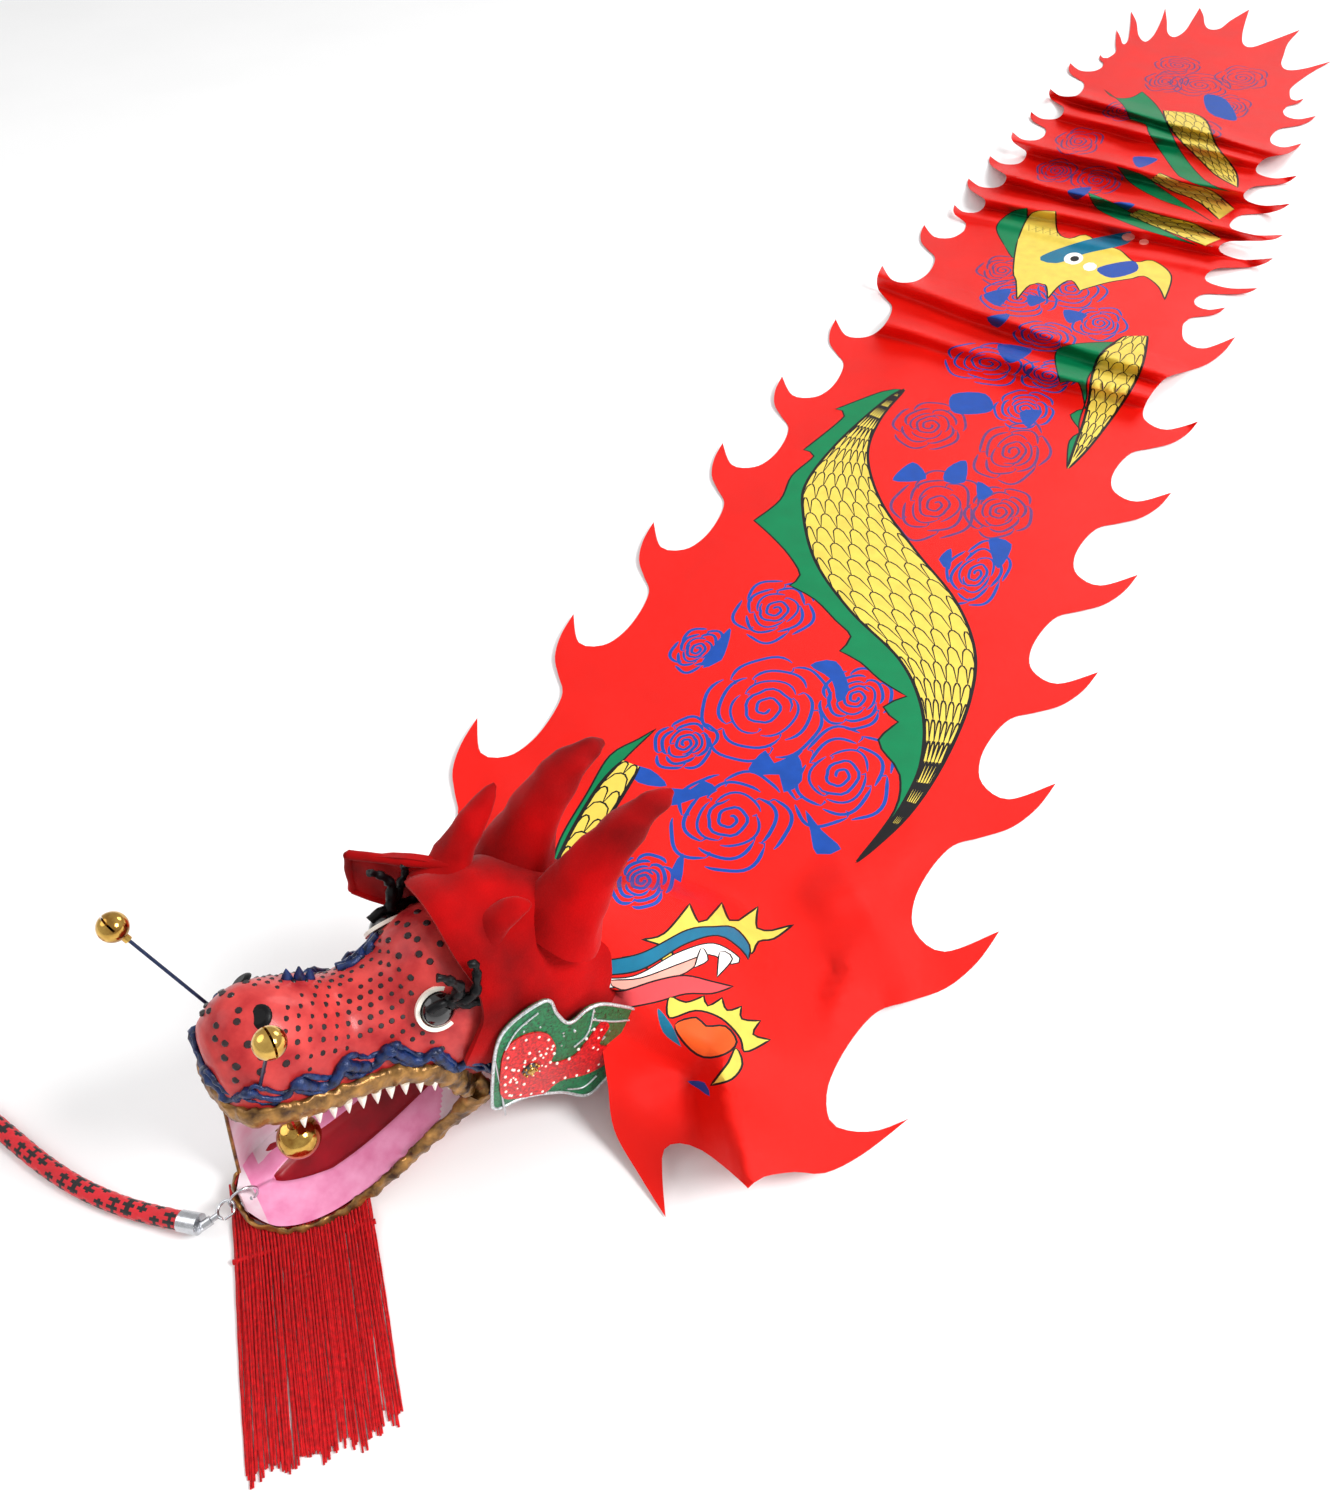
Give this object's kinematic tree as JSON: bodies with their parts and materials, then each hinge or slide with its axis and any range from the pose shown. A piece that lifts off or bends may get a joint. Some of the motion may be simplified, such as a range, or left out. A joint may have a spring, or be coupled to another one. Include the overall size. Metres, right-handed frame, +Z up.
{
  "type": "dragon ribbon",
  "caption": "Dragon-dance ribbon: moulded dragon head with cloth hood, whisker bells, beard and swing rope, and a long flame-edged cloth ribbon laid on the floor.",
  "frame": {"origin": "middle of the object's floor footprint, rope left out, on the floor", "axes": "+Y along the ribbon from the head to the tail, +Z up, the head at the -Y end turned 28 degrees towards -X"},
  "size_m": [0.8887, 4.309, 0.3094],
  "materials": {
    "skin": "painted moulding with black dots",
    "jaw_skin": "painted moulding",
    "mouth_red": "painted dark red",
    "gum": "painted pink",
    "ivory": "glossy",
    "gold_lip": "rough gold paint",
    "navy_trim": "braid trim",
    "black_gloss": "glossy black",
    "black_plastic": "moulded",
    "steel": "plated wire and fittings",
    "gold_metal": "polished bell metal",
    "thread": "thread",
    "hood_cloth": "velvet",
    "ear_glitter": "glitter sheet",
    "flower_red": "glitter sheet",
    "beard_yarn": "combed strings",
    "rope_braid": "diamond braid",
    "grip_rubber": "moulded grip",
    "ribbon_cloth": "printed satin cloth"
  },
  "bodies": {
    "head": {"head_shell": "skin", "jaw_shell": "jaw_skin", "palate": "mouth_red", "mouth_floor": "mouth_red", "lower_gum": "gum", "upper_teeth": "ivory", "upper_lip": "gold_lip", "lower_lip": "gold_lip", "blue_trim": "navy_trim", "snout_crest": "navy_trim", "eyeballs": "black_gloss", "eye_whites": "ivory", "eyelashes": "black_gloss", "nostrils": "black_gloss", "neck_hoop": "black_plastic", "neck_screws": "steel", "whisker_seats": "black_plastic", "pearl_hanger": "steel", "hood": "hood_cloth", "horn_left": "hood_cloth", "horn_right": "hood_cloth", "horn_prong_left": "hood_cloth", "horn_prong_right": "hood_cloth", "ear_pins": "steel", "chin_eyelet": "steel", "neck_sleeve": "ribbon_cloth", "front_apron": "ribbon_cloth"},
    "pearl": {"pearl": "gold_metal", "pearl_crown": "gold_metal", "pearl_thread": "thread"},
    "whisker_left": {"whisker_wire_left": "steel", "whisker_bell_left": "gold_metal"},
    "whisker_right": {"whisker_wire_right": "steel", "whisker_bell_right": "gold_metal"},
    "ear_left": {"ear_left": "ear_glitter", "ear_flower_left": "flower_red"},
    "ear_right": {"ear_right": "ear_glitter", "ear_flower_right": "flower_red"},
    "beard": {"beard_band": "beard_yarn", "beard_strings": "beard_yarn"},
    "chin_ring": {"chin_ring": "steel"},
    "rope": {"swivel_eye": "steel", "rope_cap": "steel", "rope_tube": "rope_braid", "rope_coil": "rope_braid", "hand_grip": "grip_rubber"},
    "snap_hook": {"hook_body": "steel"},
    "hook_gate": {"hook_gate": "steel"},
    "ribbon_front": {"panel_front": "ribbon_cloth", "border_left_front": "ribbon_cloth", "border_right_front": "ribbon_cloth"},
    "ribbon_mid": {"folds_front": "ribbon_cloth", "panel_mid": "ribbon_cloth", "border_left_mid": "ribbon_cloth", "border_right_mid": "ribbon_cloth"},
    "ribbon_rear": {"folds_rear": "ribbon_cloth", "panel_rear": "ribbon_cloth", "border_left_rear": "ribbon_cloth", "border_right_rear": "ribbon_cloth", "tail_end": "ribbon_cloth"}
  },
  "joints": [
    {"name": "pearl_swing", "type": "hinge", "parent": "head", "child": "pearl", "pos_m": [-0.11772, -1.90341, 0.188], "axis": [0.8829, -0.4695, 0], "range_deg": [-18, 18]},
    {"name": "whisker_left_flex", "type": "hinge", "parent": "head", "child": "whisker_left", "pos_m": [-0.09421, -1.92949, 0.202], "axis": [0.8829, -0.4695, 0], "range_deg": [-20, 20], "stiffness_Nm_per_rad": 0.05},
    {"name": "whisker_right_flex", "type": "hinge", "parent": "head", "child": "whisker_right", "pos_m": [-0.15779, -1.89569, 0.202], "axis": [0.8829, -0.4695, 0], "range_deg": [-20, 20], "stiffness_Nm_per_rad": 0.05},
    {"name": "ear_left_flap", "type": "hinge", "parent": "head", "child": "ear_left", "pos_m": [0.01787, -1.81241, 0.11], "axis": [0, 0, -1], "range_deg": [0, 35]},
    {"name": "ear_right_flap", "type": "hinge", "parent": "head", "child": "ear_right", "pos_m": [-0.1234, -1.7373, 0.11], "axis": [0, 0, 1], "range_deg": [0, 35]},
    {"name": "beard_lift", "type": "hinge", "parent": "head", "child": "beard", "pos_m": [-0.09009, -1.95113, 0.003], "axis": [-0.712, -0.7022, 0], "range_deg": [0, 55]},
    {"name": "ring_swing", "type": "hinge", "parent": "head", "child": "chin_ring", "pos_m": [-0.14666, -1.95144, 0.0225], "axis": [-0.8829, 0.4695, 0], "range_deg": [0, 30]},
    {"name": "rope_swing", "type": "hinge", "parent": "chin_ring", "child": "rope", "pos_m": [-0.15194, -1.96137, 0.02011], "axis": [-0.0976, -0.1836, 0.9781], "range_deg": [-8, 8]},
    {"name": "hook_swivel", "type": "hinge", "parent": "rope", "child": "snap_hook", "pos_m": [-0.16112, -1.97865, 0.01595], "axis": [-0.4592, -0.8637, -0.2079], "range_deg": [-12, 12]},
    {"name": "gate_open", "type": "hinge", "parent": "snap_hook", "child": "hook_gate", "pos_m": [-0.14957, -1.97161, 0.01843], "axis": [-0.0976, -0.1836, 0.9781], "range_deg": [0, 18], "stiffness_Nm_per_rad": 0.02},
    {"name": "neck_fold", "type": "hinge", "parent": "head", "child": "ribbon_front", "pos_m": [0, -1.60426, 0.0016], "axis": [1, 0, 0], "range_deg": [0, 40]},
    {"name": "fold_front", "type": "hinge", "parent": "ribbon_front", "child": "ribbon_mid", "pos_m": [0, -0.32626, 0.0016], "axis": [1, 0, 0], "range_deg": [0, 60]},
    {"name": "fold_rear", "type": "hinge", "parent": "ribbon_mid", "child": "ribbon_rear", "pos_m": [0, 0.33374, 0.0016], "axis": [1, 0, 0], "range_deg": [0, 60]}
  ]
}
